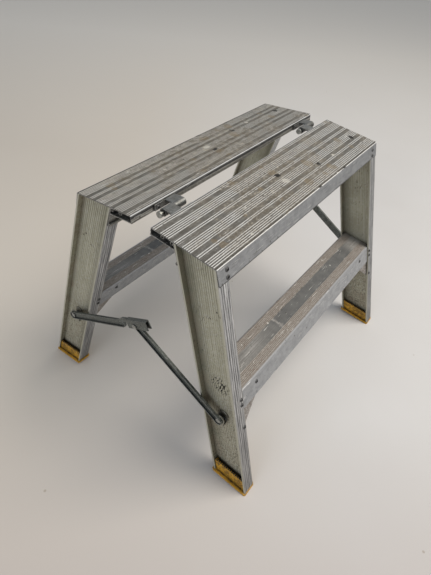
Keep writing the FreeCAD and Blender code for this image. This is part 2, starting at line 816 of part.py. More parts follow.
middle_rivet = make_middle_rivet()
middle_rivet.translate(Vector(0, 0, middle_z) + raise_up)
for side, end in zip(side_names, ends(middle_rivet)):
    save(side + "_middle_rivet", [end])
tail = make_rivet_tail()
tail.translate(Vector(0, pivot_y, pivot_z))
save("front_rivet_tails", [stand(end, True) for end in ends(tail)])
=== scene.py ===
import json
import math
import bpy
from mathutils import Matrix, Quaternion, Vector


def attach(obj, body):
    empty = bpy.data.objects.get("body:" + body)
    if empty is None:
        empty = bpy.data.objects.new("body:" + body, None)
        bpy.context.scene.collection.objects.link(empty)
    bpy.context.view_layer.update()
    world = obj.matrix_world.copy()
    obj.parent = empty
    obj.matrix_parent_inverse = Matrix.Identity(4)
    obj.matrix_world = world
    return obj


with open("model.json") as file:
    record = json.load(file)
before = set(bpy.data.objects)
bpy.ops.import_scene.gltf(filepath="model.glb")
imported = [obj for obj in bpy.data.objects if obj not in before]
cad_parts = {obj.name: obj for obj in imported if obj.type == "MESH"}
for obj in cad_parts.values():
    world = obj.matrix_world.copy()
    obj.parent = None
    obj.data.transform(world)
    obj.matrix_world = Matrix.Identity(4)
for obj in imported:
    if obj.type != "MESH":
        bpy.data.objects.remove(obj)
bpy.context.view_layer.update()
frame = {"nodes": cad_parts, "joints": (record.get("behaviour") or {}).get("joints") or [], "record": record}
nodes = frame["nodes"]


# The viewer stands off the left-hand end, in front of the ladder and above it, and holds the camera
# a little turned. Its place, aim, lens and turn were fitted to the viewing angle wanted, and are given
# from the middle of the hinge axis, in metres.
hinge_axis = Vector(frame["joints"][0]["pos_m"])
eye = hinge_axis + Vector((-0.8004, -0.4767, 0.4686))
aim = hinge_axis + Vector((-0.5509, -0.3115, 0.1890))
camera = bpy.data.objects.new("viewer", bpy.data.cameras.new("viewer"))
camera.data.lens = 27.39
camera.data.clip_start = 0.02
camera.data.clip_end = 60
camera.location = eye
camera.rotation_mode = "QUATERNION"
turned = Quaternion((0, 0, 1), math.radians(5.8))
camera.rotation_quaternion = (aim - eye).to_track_quat("-Z", "Y") @ turned
bpy.context.scene.collection.objects.link(camera)
bpy.context.scene.camera = camera


# Studio floor: a seamless roll of pale paper that runs on behind the ladder as its backdrop. Matt and
# faintly cloudy, with a few specks of dirt and a little warmer on the left. Painted shade darkens it
# towards the near edge, and painted light brightens it far off.
def linear(code):
    """Colour of an sRGB hex code, in linear light."""
    parts = [int(code[i:i + 2], 16) / 255 for i in (0, 2, 4)]
    return (*[c / 12.92 if c <= 0.04045 else ((c + 0.055) / 1.055) ** 2.4 for c in parts], 1)


def add(tree, kind, *values, **given):
    """Add a node and give back its first output in use. Values fill its inputs in use, in order. A name
    sets its property of that name or else its input, and an underscore in it stands for a space."""
    shared = kind.startswith(("Geometry", "Function", "NodeGroup"))
    node = tree.nodes.new(kind if shared else "ShaderNode" + kind)
    for name in [name for name in given if name in node.bl_rna.properties]:
        setattr(node, name, given.pop(name))
    inputs = [socket for socket in node.inputs if socket.enabled]
    settings = list(zip(inputs, values))
    for name, value in given.items():
        named = [socket for socket in inputs if socket.name == name.replace("_", " ")]
        settings.append((named[0], value))
    for socket, value in settings:
        if isinstance(value, bpy.types.NodeSocket):
            tree.links.new(value, socket)
        else:
            socket.default_value = value
    return next((socket for socket in node.outputs if socket.enabled), None)


def coat(tree, under, mask, strength, over):
    """One colour laid over another where the mask is, as strongly as given."""
    cover = add(tree, "Math", mask, strength, operation="MULTIPLY")
    return add(tree, "Mix", cover, under, over, data_type="RGBA")


def grade(tree, under, value, low, high, over, strength=1.0):
    """One colour that goes over into another while a value goes from low to high, as far as given."""
    cover = add(tree, "MapRange", value, low, high, 0.0, strength)
    return add(tree, "Mix", cover, under, over, data_type="RGBA")


def new_material(name):
    """An empty material's tree, with the material itself."""
    material = bpy.data.materials.new(name)
    material.use_nodes = True
    material.node_tree.nodes.clear()
    return material, material.node_tree


def specks(tree, place, gap, size, share):
    """Round specks, up to size across, in this share of cells that are gap wide."""
    cell = add(tree, "TexVoronoi", Vector=place, Scale=1 / gap)
    chance = add(tree, "SeparateXYZ", cell.node.outputs["Color"])
    reach = add(tree, "MapRange", chance, 1 - share, 1, 0, size / 2 / gap)
    return add(tree, "Math", cell, reach, operation="LESS_THAN")


floor_half = 9.0
floor_mesh = bpy.data.meshes.new("studio_floor")
floor_mesh.from_pydata([(-floor_half, -floor_half, 0), (floor_half, -floor_half, 0),
                        (floor_half, floor_half, 0), (-floor_half, floor_half, 0)], [], [(0, 1, 2, 3)])
floor = bpy.data.objects.new("studio_floor", floor_mesh)
bpy.context.scene.collection.objects.link(floor)
paper, tree = new_material("seamless backdrop paper")
place = add(tree, "TexCoord").node.outputs["Object"]
x, y, z = add(tree, "SeparateXYZ", place).node.outputs
clouds = add(tree, "TexNoise", place, 1 / 0.5, 3.0, 0.55)
tone = add(tree, "Mix", clouds, linear("c8c6c4"), linear("d1d0cf"), data_type="RGBA")
leftward = add(tree, "Math", x, -1.0, operation="MULTIPLY")
leftward = add(tree, "Math", y, 1.5, leftward, operation="MULTIPLY_ADD")
tone = grade(tree, tone, leftward, -0.6, 1.0, linear("cbc1b2"), 0.7)
distance_for_painted_light = add(tree, "Math", x, 1.5, y, operation="MULTIPLY_ADD")
# Painted shade darkens the floor towards the near edge, and painted light brightens it far off
tone = grade(tree, tone, distance_for_painted_light, -0.5, -1.3, linear("b4aba5"), 0.6)
tone = grade(tree, tone, distance_for_painted_light, 2.0, 6.0, linear("e2ddd5"))
tone = coat(tree, tone, specks(tree, place, 0.11, 0.007, 0.5), 0.45, linear("8d7d66"))
add(tree, "OutputMaterial", add(tree, "BsdfPrincipled", Base_Color=tone, Roughness=0.9))
floor_mesh.materials.append(paper)


# Studio light: a big warm soft box overhead, a little to the right and in front of the ladder, a cool
# one low off its left end, a weak one low in front, and the pale cool room all round.
def soft_box(name, place, size, watts, colour):
    lamp = bpy.data.lights.new(name, "AREA")
    lamp.size = size
    lamp.energy = watts
    lamp.color = linear(colour)[:3]
    holder = bpy.data.objects.new(name, lamp)
    holder.location = place
    holder.rotation_mode = "QUATERNION"
    holder.rotation_quaternion = (Vector((0, 0, 0.3)) - Vector(place)).to_track_quat("-Z", "Y")
    bpy.context.scene.collection.objects.link(holder)


soft_box("overhead soft box", (1.0, -1.5, 3.6), 2.2, 116, "fff7ec")
soft_box("left soft box", (-3.6, 0.0, 1.2), 2.0, 44, "ebf2ff")
soft_box("front soft box", (0.8, -3.6, 1.0), 2.2, 18, "fffaf4")
world = bpy.data.worlds.new("pale room")
world.use_nodes = True
world.node_tree.nodes["Background"].inputs["Color"].default_value = linear("dfe4ea")
world.node_tree.nodes["Background"].inputs["Strength"].default_value = 0.52
bpy.context.scene.world = world
bpy.context.scene.view_settings.view_transform = "Standard"


# Decks: one extrusion each of 6000-series aluminium, left in its mill finish. Rows of small ribs give
# grip. Feet have rubbed the ribs bright, and their crests also carry a painted highlight. Grey and brown
# dirt lies between them, darkened further by painted shade in the grooves.
tilt = math.atan2(frame["record"]["mounts"][2]["axis"][1], frame["record"]["mounts"][2]["axis"][2])


def half_of(node):
    """The half that a node belongs to: 1 for the back one and -1 for the front one."""
    return -1 if node.startswith("front") else 1


def level_place(tree, half):
    """Object coordinates turned level about the hinge axis: along the ladder, outward, and up."""
    place = add(tree, "TexCoord").node.outputs["Object"]
    moved = add(tree, "VectorMath", place, hinge_axis, operation="SUBTRACT")
    level = add(tree, "Mapping", Vector=moved, Rotation=(tilt * half, 0, 0))
    return add(tree, "VectorMath", level, (1, half, 1), operation="MULTIPLY")


def extent(node, rule):
    """Lowest and highest value that a rule takes over a node's corners, given |x|, y and z made level."""
    half = half_of(node)
    found = []
    for vertex in nodes[node].data.vertices:
        x, y, z = vertex.co - hinge_axis
        level_y = y * half * math.cos(tilt) - z * math.sin(tilt)
        level_z = y * half * math.sin(tilt) + z * math.cos(tilt)
        found.append(rule(abs(x), level_y, level_z))
    return min(found), max(found)


def away_from(tree, value, spot):
    """How far a value is from a spot, on either side of it."""
    return add(tree, "Math", add(tree, "Math", value, spot, operation="SUBTRACT"), operation="ABSOLUTE")


def scratches(tree, place, turn, length, gap, share):
    """Straight scratches, up to about length long and gap wide, that run at a turn about Z. Real ones are
    hair-thin, and these are as coarse as they need to be to show."""
    turned = add(tree, "Mapping", Vector=place, Rotation=(0, 0, math.radians(turn)),
                 Scale=(1 / length, 1 / gap, 1 / gap))
    grain = add(tree, "TexNoise", Vector=turned, Scale=1.0, Detail=1.0)
    return add(tree, "MapRange", grain, 1 - share, 1 - share + 0.04)


# A die line's width, and the factor on the way along it that draws the pattern out into lines.
die_line = 0.0018
line_stretch = 0.012


def mill_finish(tree, place, streaks, light, dark, lined=0.4):
    """Aluminium as it leaves the press: die lines along streaks, over soft patches of dull oxide. Real die
    lines are finer than die_line, which is as coarse as it needs to be for them to show."""
    lines = add(tree, "TexNoise", streaks, 1 / die_line, 2.0, 0.55)
    patches = add(tree, "TexNoise", place, 1 / 0.06, 5.0, 0.62)
    mottle = add(tree, "TexNoise", place, 1 / 0.006, 3.0, 0.6)
    metal = grade(tree, linear(dark), patches, 0.34, 0.66, linear(light))
    metal = grade(tree, metal, lines, 0.40, 0.62, linear("5b5a56"), lined)
    metal = grade(tree, metal, lines, 0.44, 0.34, linear("efeeeb"), lined)
    return grade(tree, metal, mottle, 0.5, 0.72, linear("d6d5d1"), 0.35)


def crevice_dirt_and_shade(tree, reach):
    """Mask of corners and seams narrower than about this reach, where dirt settles and where shade is
    painted into the colour.
    """
    seen = add(tree, "AmbientOcclusion", samples=6, Distance=reach).node.outputs["AO"]
    return add(tree, "MapRange", seen, 0.75, 0.25)


def give(material, *names):
    """Put one material on whole nodes."""
    for name in names:
        nodes[name].data.materials.clear()
        nodes[name].data.materials.append(material)


leg_angle = math.radians(21.5)
leg_splay = math.tan(leg_angle)
deck_top = extent("back_deck", lambda x, y, z: z)[1]
deck_face = extent("back_deck", lambda x, y, z: y + leg_splay * z)[1]
deck_nose = extent("back_deck", lambda x, y, z: y)[0]
rib_height = 0.0008
skirt_drop = 0.0335
top_groove = 0.0034
nose_lip_drop = 0.0034
nose_groove_drop = 0.0095
# For each deck: bare metal, light and dark, the ribs' crests (rubbed and painted highlight), then the dirt
# flecks' size and strength.
deck_tones = {"back": ("9c9a93", "7b7972", "c9c7c1", 0.008, 0.55),
              "front": ("93928e", "757470", "f4f3ef", 0.0045, 0.6)}
# Splashes of dirt, small burns and pale scrapes, scattered by pattern: the gap between them, the size of
# the largest, the share of places that have one, strength and colour.
deck_splashes = [(0.034, 0.032, 0.5, 0.4, "85755a"), (0.040, 0.020, 0.4, 0.95, "24221e"),
                 (0.050, 0.024, 0.4, 0.6, "dedbd2")]
for half, side in ((1, "back"), (-1, "front")):
    light, dark, crest_tone_and_highlight, fleck_size, fleck_strength = deck_tones[side]
    material, tree = new_material(side + " deck, worn mill-finish aluminium")
    place = level_place(tree, half)
    x, y, z = add(tree, "SeparateXYZ", place).node.outputs
    along = add(tree, "CombineXYZ", add(tree, "Math", x, line_stretch, operation="MULTIPLY"), y, z)
    metal = mill_finish(tree, place, along, light, dark)
    topside = add(tree, "MapRange", z, deck_top - 0.0022, deck_top - 0.0014)
    crest = add(tree, "MapRange", z, deck_top - rib_height * 0.75, deck_top - rib_height * 0.35)
    between_ribs = add(tree, "Math", topside, crest, operation="SUBTRACT")
    # Dirt between the ribs, darkened further by painted shade in the grooves between them
    blotches = add(tree, "TexNoise", place, 1 / 0.016, 5.0, 0.66)
    grime_and_groove_shade = add(tree, "MapRange", blotches, 0.34, 0.62, 0.35, 0.85)
    grime_and_groove_shade = add(tree, "Math", grime_and_groove_shade, between_ribs, operation="MULTIPLY")
    metal = add(tree, "Mix", grime_and_groove_shade, metal, linear("514e48"), data_type="RGBA")
    # The crests are rubbed bright, and their near-white tone is partly a painted highlight
    metal = coat(tree, metal, crest, 0.88, linear(crest_tone_and_highlight))
    # Brown and sandy dirt trodden in as small flecks, over a faint brown cast at mid length
    mid_length = add(tree, "MapRange", add(tree, "Math", x, operation="ABSOLUTE"), 0.28, 0.08, -0.05, 0.08)
    worn = add(tree, "TexNoise", place, 1 / 0.06, 4.0, 0.6)
    worn = add(tree, "MapRange", add(tree, "Math", worn, mid_length, operation="ADD"), 0.42, 0.56)
    worn = add(tree, "Math", worn, topside, operation="MULTIPLY")
    metal = coat(tree, metal, worn, 0.14, linear("86765f"))
    drawn_out = add(tree, "CombineXYZ", add(tree, "Math", x, 0.6, operation="MULTIPLY"), y, z)
    fleck = add(tree, "TexNoise", drawn_out, 1 / fleck_size, 5.0, 0.8)
    brown = add(tree, "MapRange", fleck, 0.53, 0.59, 0.0, fleck_strength)
    metal = coat(tree, metal, brown, worn, linear("62563f"))
    sand = add(tree, "MapRange", fleck, 0.45, 0.38, 0.0, fleck_strength)
    metal = coat(tree, metal, sand, worn, linear("cfc6b4"))
    # The outer skirt is cooler and scuffed, with a painted highlight along its top corner, painted shade in
    # the groove beside it, and a dark lower edge
    outward = add(tree, "Math", z, leg_splay, y, operation="MULTIPLY_ADD")
    below_top = add(tree, "Math", 1.0, topside, operation="SUBTRACT")
    skirt = add(tree, "MapRange", outward, deck_face - 0.0012, deck_face - 0.0006)
    skirt = add(tree, "Math", skirt, below_top, operation="MULTIPLY")
    scuffed = add(tree, "MapRange", add(tree, "TexNoise", place, 1 / 0.018, 6.0, 0.72), 0.36, 0.64)
    cool = add(tree, "Mix", scuffed, linear("888a8d"), linear("a2a4a7"), data_type="RGBA")
    metal = coat(tree, metal, skirt, 0.8, cool)
    # Painted shade in the groove along the top's outer edge
    groove_shade = add(tree, "MapRange", away_from(tree, outward, deck_face - top_groove), 0.0014, 0.0006)
    metal = coat(tree, metal, groove_shade, topside, linear("4a4843"))
    # A painted highlight along the skirt's rounded top corner
    corner = add(tree, "MapRange", outward, deck_face - 0.0012, deck_face - 0.0007)
    corner = add(tree, "Math", corner, topside, operation="MULTIPLY")
    metal = coat(tree, metal, corner, 0.85, linear("ececea"))
    # Painted light on the nose: a painted highlight along its upper edge, with painted shade in a line on
    # the top just behind it and in its groove below
    nose_lip = add(tree, "MapRange", z, deck_top - nose_lip_drop, deck_top - nose_lip_drop + 0.0006)
    nose_side = add(tree, "MapRange", y, deck_nose + 0.0022, deck_nose + 0.0016)
    above = add(tree, "MapRange", y, deck_nose + 0.0046, deck_nose + 0.0040)
    above = add(tree, "Math", above, topside, operation="MULTIPLY")
    metal = coat(tree, metal, above, 0.6, linear("3f3e3b"))
    lip_highlight = add(tree, "Math", nose_lip, nose_side, operation="MULTIPLY")
    metal = coat(tree, metal, lip_highlight, 0.6, linear("e9ebec"))
    under_lip = add(tree, "Math", nose_side, lip_highlight, operation="SUBTRACT")
    groove_shade = add(tree, "MapRange", z, deck_top - nose_groove_drop, deck_top - nose_groove_drop + 0.0010)
    groove_shade = add(tree, "Math", groove_shade, under_lip, operation="MULTIPLY")
    metal = coat(tree, metal, groove_shade, 0.8, linear("3e3f42"))
    skirt_foot = deck_top - skirt_drop
    hem = add(tree, "MapRange", z, skirt_foot + 0.0022, skirt_foot + 0.0008)
    metal = coat(tree, metal, hem, skirt, linear("4c4b4a"))
    dirt = add(tree, "Math", specks(tree, place, 0.014, 0.006, 0.35),
               scratches(tree, place, 28, 0.05, 0.0018, 0.31), operation="MAXIMUM")
    metal = coat(tree, metal, dirt, 0.6, linear("45413a"))
    chips = add(tree, "Math", specks(tree, place, 0.023, 0.005, 0.3),
                scratches(tree, place, -50, 0.04, 0.0015, 0.30), operation="MAXIMUM")
    metal = coat(tree, metal, chips, 0.6, linear("f2f1ed"))
    stray = add(tree, "TexNoise", Vector=place, Scale=1 / 0.012, Detail=4.0).node.outputs["Color"]
    strayed = add(tree, "VectorMath", stray, (0.014, 0.014, 0.014), place, operation="MULTIPLY_ADD")
    for gap, size, share, strength, colour in deck_splashes:
        splash = add(tree, "Math", specks(tree, strayed, gap, size, share), strength, operation="MULTIPLY")
        metal = coat(tree, metal, splash, topside, linear(colour))
    # Painted shade and dirt, darkest in corners and seams
    metal = coat(tree, metal, crevice_dirt_and_shade(tree, 0.012), 0.8, linear("2b2823"))
    rough = add(tree, "Mix", between_ribs, add(tree, "MapRange", blotches, 0.3, 0.7, 0.38, 0.54), 0.72)
    shine = add(tree, "Mix", grime_and_groove_shade, 0.75, 0.2)
    bump = add(tree, "Bump", Strength=0.3, Distance=0.0004, Height=blotches)
    surface = add(tree, "BsdfPrincipled", Base_Color=metal, Metallic=shine, Roughness=rough, Normal=bump)
    add(tree, "OutputMaterial", surface)
    give(material, side + "_deck")


# Stiles: an aluminium I-section, cut level at both ends. Fine lines from the die run down it. Dust and
# boot dirt lie in its web, with painted shade in its grooves and by the hinge-side flange. Its flanges are
# rubbed bright on their ribs, and their lips carry a painted highlight.
end_angle = math.radians(3.4)
end_splay = math.tan(end_angle)
web_edge, lips = extent("back_left_stile", lambda x, y, z: x + end_splay * z)
inner_face, outer_face = extent("back_left_stile", lambda x, y, z: y + leg_splay * z)
stile_depth = lips - web_edge
stile_span = outer_face - inner_face
tread_top = extent("back_tread", lambda x, y, z: z)[1]
flange = 0.0043
flange_groove_pitch = 0.0062
web_groove_pitch = 0.0055


def leg_place(tree, half):
    """Place on a leg: inward from the outboard lips, towards the hinge from the outer face, and up."""
    x, y, z = add(tree, "SeparateXYZ", level_place(tree, half)).node.outputs
    from_centre = add(tree, "Math", x, operation="ABSOLUTE")
    inward = add(tree, "Math", z, end_splay, from_centre, operation="MULTIPLY_ADD")
    inward = add(tree, "Math", lips, inward, operation="SUBTRACT")
    across = add(tree, "Math", z, leg_splay, y, operation="MULTIPLY_ADD")
    return inward, add(tree, "Math", outer_face, across, operation="SUBTRACT"), z


def stripes(tree, value, pitch, share):
    """Bands that fill this share of each pitch, centred half way between its multiples."""
    phase = add(tree, "Math", add(tree, "Math", value, pitch, operation="DIVIDE"), operation="FRACT")
    return add(tree, "MapRange", away_from(tree, phase, 0.5), share / 2 + 0.06, share / 2 - 0.06)


for half, side in ((1, "back"), (-1, "front")):
    material, tree = new_material(side + " stiles, dusty mill-finish aluminium")
    place = level_place(tree, half)
    inward, across, z = leg_place(tree, half)
    drawn_down = add(tree, "Math", z, line_stretch, operation="MULTIPLY")
    down = add(tree, "CombineXYZ", inward, across, drawn_down)
    middle = add(tree, "Math", across, stile_span / 2, operation="SUBTRACT")
    from_middle = add(tree, "Math", middle, operation="ABSOLUTE")
    low = add(tree, "MapRange", z, -0.20, -0.52)
    # Inside the I-section: greenish grey, with dark stripes of painted shade in the web's grooves, painted
    # shade by the hinge-side flange, and dirty in the corners and low down
    metal = mill_finish(tree, place, down, "c2bfa9", "aca892", 0.16)
    # Dark stripes of painted shade in the web's grooves, fading lower down
    grooves = stripes(tree, middle, web_groove_pitch, 0.38)
    fading = add(tree, "MapRange", z, -0.02, -0.16, 0.65, 0.10)
    metal = coat(tree, metal, grooves, fading, linear("635f4b"))
    # Painted shade, with some dirt, darkens the web towards the hinge-side flange
    hinge_side_shade_and_dirt = add(tree, "MapRange", across, stile_span - 0.036, stile_span - 0.014, 0.0, 0.5)
    metal = add(tree, "Mix", hinge_side_shade_and_dirt, metal, linear("5a5947"), data_type="RGBA")
    corner = add(tree, "MapRange", from_middle, stile_span / 2 - flange - 0.020, stile_span / 2 - flange)
    film = add(tree, "MapRange", add(tree, "TexNoise", place, 1 / 0.03, 6.0, 0.68), 0.40, 0.64)
    cornered = add(tree, "Math", corner, 0.7, operation="MULTIPLY")
    settled = add(tree, "MapRange", low, 0, 1, 0.05, 0.8)
    settled = add(tree, "Math", cornered, settled, operation="MAXIMUM")
    film = add(tree, "Math", film, settled, operation="MULTIPLY")
    metal = add(tree, "Mix", film, metal, linear("857763"), data_type="RGBA")
    # Real grit is finer than this speckle, which is as coarse as it needs to be to show
    speckle = add(tree, "TexNoise", place, 1 / 0.0042, 3.0, 0.85)
    speckle = add(tree, "MapRange", speckle, 0.52, 0.60)
    metal = coat(tree, metal, speckle, add(tree, "MapRange", low, 0, 1, 0.06, 0.95), linear("574c3c"))
    side_on = add(tree, "Mapping", Vector=place, Rotation=(0, math.pi / 2, 0))
    dirt = add(tree, "Math", specks(tree, place, 0.008, 0.0045, 0.45),
               scratches(tree, side_on, 35, 0.02, 0.0022, 0.33), operation="MAXIMUM")
    patchy = add(tree, "MapRange", add(tree, "TexNoise", place, 1 / 0.05, 2.0, 0.55), 0.46, 0.60, 0.06, 0.8)
    metal = coat(tree, metal, dirt, patchy, linear("3a372c"))
    if side == "front":
        # Something hard has scuffed the left leg's web black at the height of the tread
        scuffs = scratches(tree, side_on, 62, 0.008, 0.0028, 0.47)
        rise = add(tree, "Math", z, tread_top, operation="SUBTRACT")
        rightward = add(tree, "Math", add(tree, "SeparateXYZ", place), 0.0, operation="MAXIMUM")
        spot = add(tree, "CombineXYZ", middle, rise, rightward)
        away = add(tree, "VectorMath", spot, operation="LENGTH")
        metal = coat(tree, metal, scuffs, add(tree, "MapRange", away, 0.026, 0.016), linear("25231c"))
    # Outer faces of the flanges: colder, rubbed into bright and dark streaks that follow their grooves
    outside = add(tree, "MapRange", from_middle, stile_span / 2 - 0.0016, stile_span / 2 - 0.0008)
    long_down = add(tree, "CombineXYZ", inward, across, add(tree, "Math", z, 0.05, operation="MULTIPLY"))
    streak = add(tree, "TexNoise", long_down, 1 / 0.0032, 4.0, 0.7)
    rubbed = grade(tree, linear("8d8e8f"), streak, 0.38, 0.62, linear("cacaca"))
    rubbed = grade(tree, rubbed, streak, 0.60, 0.68, linear("f4f4f4"), 0.8)
    rubbed = grade(tree, rubbed, low, 0, 1, linear("7b7976"), 0.45)
    mid_flange = add(tree, "Math", inward, stile_depth / 2, operation="SUBTRACT")
    grooves = stripes(tree, mid_flange, flange_groove_pitch, 0.42)
    dirty = add(tree, "MapRange", streak, 0.62, 0.42, 0.1, 0.7)
    rubbed = coat(tree, rubbed, grooves, dirty, linear("5d5d5f"))
    metal = add(tree, "Mix", outside, metal, rubbed, data_type="RGBA")
    # A painted highlight along the flanges' lips
    flange_lip_highlight = add(tree, "Math", mid_flange, operation="ABSOLUTE")
    flange_lip_highlight = add(tree, "MapRange", flange_lip_highlight, stile_depth / 2 - 0.0009, stile_depth / 2 - 0.0004)
    metal = coat(tree, metal, flange_lip_highlight, 0.6, linear("bdbaa8"))
    # Painted shade and dirt, darkest in corners and seams
    metal = coat(tree, metal, crevice_dirt_and_shade(tree, 0.014), 0.85, linear("35301f"))
    lines = add(tree, "TexNoise", down, 1 / die_line, 2.0, 0.55)
    dents = add(tree, "TexNoise", place, 1 / 0.01, 4.0, 0.55)
    height = add(tree, "Math", lines, dents, operation="ADD")
    bump = add(tree, "Bump", Strength=0.25, Distance=0.0003, Height=height)
    shine = add(tree, "Mix", outside, add(tree, "Mix", film, 0.55, 0.1), 0.75)
    rough = add(tree, "Mix", outside, add(tree, "Mix", film, 0.55, 0.8), 0.44)
    surface = add(tree, "BsdfPrincipled", Base_Color=metal, Metallic=shine, Roughness=rough, Normal=bump)
    add(tree, "OutputMaterial", surface)
    give(material, side + "_left_stile", side + "_right_stile")


# Treads: a ribbed aluminium channel riveted between each pair of stiles. Boots have worn the smooth
# middle to a dark grey band, and reddish dust lies along its ribs.
smooth_half = 0.0158
tread_end = extent("back_tread", lambda x, y, z: x)[1]
scrape_at = -tread_end / 3
for half, side in ((1, "back"), (-1, "front")):
    material, tree = new_material(side + " tread, worn mill-finish aluminium")
    place = level_place(tree, half)
    x, y, z = add(tree, "SeparateXYZ", place).node.outputs
    across = leg_place(tree, half)[1]
    along = add(tree, "CombineXYZ", add(tree, "Math", x, line_stretch, operation="MULTIPLY"), y, z)
    metal = mill_finish(tree, place, along, "a9a6a2", "8d8a86", 0.3)
    topside = add(tree, "MapRange", z, tread_top - 0.0045, tread_top - 0.0034)
    crest = add(tree, "MapRange", z, tread_top - rib_height * 0.75, tread_top - rib_height * 0.35)
    from_middle = away_from(tree, across, stile_span / 2)
    ragged = add(tree, "TexNoise", place, 1 / 0.012, 5.0, 0.7)
    smooth = add(tree, "Math", ragged, 0.006, from_middle, operation="MULTIPLY_ADD")
    smooth = add(tree, "MapRange", smooth, smooth_half + 0.0040, smooth_half + 0.0025)
    smooth = add(tree, "Math", smooth, topside, operation="MULTIPLY")
    # Boots step on the tread's right and middle. A scrape crosses the worn band a third of the way in from
    # the left, the band fades there, and it stops short of the right end
    scraped = add(tree, "Math", ragged, 0.03, x, operation="MULTIPLY_ADD")
    scraped = add(tree, "MapRange", away_from(tree, scraped, scrape_at + 0.015), 0.002, 0.005, 0.25, 1.0)
    fading = add(tree, "Math", ragged, 0.08, x, operation="MULTIPLY_ADD")
    fading = add(tree, "MapRange", fading, scrape_at + 0.04, scrape_at - 0.06, 0.92, 0.5)
    fading = add(tree, "Math", fading, scraped, operation="MULTIPLY")
    short_of_end = add(tree, "MapRange", x, tread_end - 0.04, tread_end - 0.08)
    fading = add(tree, "Math", fading, short_of_end, operation="MULTIPLY")
    ribbed = add(tree, "Math", topside, smooth, operation="SUBTRACT")
    # Ribbed bands: pinkish grey dust with brown and white flecks
    metal = coat(tree, metal, ribbed, 0.7, linear("8b867f"))
    hollows = add(tree, "Math", ribbed, crest, operation="SUBTRACT")
    hollows = add(tree, "Math", hollows, 0.0, operation="MAXIMUM")
    metal = coat(tree, metal, hollows, 0.32, linear("6d625a"))
    metal = coat(tree, metal, crest, 0.35, linear("bfb6ad"))
    drawn_out = add(tree, "CombineXYZ", add(tree, "Math", x, 0.8, operation="MULTIPLY"), y, z)
    fleck = add(tree, "TexNoise", drawn_out, 1 / 0.0048, 4.0, 0.75)
    metal = coat(tree, metal, add(tree, "MapRange", fleck, 0.54, 0.64, 0.0, 0.6), ribbed, linear("735d50"))
    metal = coat(tree, metal, add(tree, "MapRange", fleck, 0.40, 0.32, 0.0, 0.5), ribbed, linear("cfcbc4"))
    # Worn smooth middle, and the scuffed skirts below a bright rounded corner
    polish = add(tree, "TexNoise", place, 1 / 0.02, 5.0, 0.66)
    grey = grade(tree, linear("585959"), polish, 0.36, 0.64, linear("686968"))
    metal = coat(tree, metal, smooth, fading, grey)
    skirt = add(tree, "Math", 1.0, topside, operation="SUBTRACT")
    scuffed = add(tree, "MapRange", add(tree, "TexNoise", place, 1 / 0.018, 6.0, 0.72), 0.36, 0.64)
    cool = add(tree, "Mix", scuffed, linear("8a8c8f"), linear("a6a8ab"), data_type="RGBA")
    metal = coat(tree, metal, skirt, 0.8, cool)
    turn_over = add(tree, "MapRange", away_from(tree, z, tread_top - 0.0020), 0.0026, 0.0018)
    tread_half = stile_span / 2 - flange
    outermost = add(tree, "MapRange", from_middle, tread_half - 0.0042, tread_half - 0.0034)
    turn_over = add(tree, "Math", turn_over, outermost, operation="MULTIPLY")
    metal = coat(tree, metal, turn_over, 0.85, linear("9b9da0"))
    metal = coat(tree, metal, specks(tree, place, 0.012, 0.005, 0.35), 0.6, linear("423e37"))
    chips = add(tree, "Math", specks(tree, place, 0.019, 0.005, 0.3),
                scratches(tree, place, 35, 0.04, 0.0015, 0.30), operation="MAXIMUM")
    metal = coat(tree, metal, chips, 0.7, linear("f0eeea"))
    # Painted shade and dirt, darkest in corners and seams
    metal = coat(tree, metal, crevice_dirt_and_shade(tree, 0.012), 0.8, linear("2d2822"))
    bump = add(tree, "Bump", Strength=0.3, Distance=0.0004, Height=ragged)
    shine = add(tree, "Mix", topside, 0.45, 0.4)
    rough = add(tree, "Mix", topside, add(tree, "MapRange", ragged, 0.3, 0.7, 0.6, 0.75), 0.6)
    surface = add(tree, "BsdfPrincipled", Base_Color=metal, Metallic=shine, Roughness=rough, Normal=bump)
    add(tree, "OutputMaterial", surface)
    give(material, side + "_tread")


# Gussets: pressed aluminium plates that brace each tread against its stiles. Dull, with a brown film of
# dust that boots never rub off.
material, tree = new_material("gussets, dull pressed aluminium")
place = add(tree, "TexCoord").node.outputs["Object"]
upright = add(tree, "Mapping", Vector=place, Scale=(1, 1, 0.05))
metal = mill_finish(tree, place, upright, "a09a95", "87817c")
film = add(tree, "TexNoise", place, 1 / 0.022, 5.0, 0.66)
dusted = add(tree, "MapRange", film, 0.44, 0.66, 0.05, 0.55)
metal = add(tree, "Mix", dusted, metal, linear("766a60"), data_type="RGBA")
metal = coat(tree, metal, specks(tree, place, 0.008, 0.003, 0.4), 0.5, linear("3d382f"))
bump = add(tree, "Bump", Strength=0.3, Distance=0.0003, Height=film)
# Painted shade and dirt, darkest in corners and seams
metal = coat(tree, metal, crevice_dirt_and_shade(tree, 0.010), 0.8, linear("2d2822"))
surface = add(tree, "BsdfPrincipled", Base_Color=metal, Metallic=0.5, Roughness=0.55, Normal=bump)
add(tree, "OutputMaterial", surface)
give(material, *[name for name in nodes if name.endswith("gusset")])


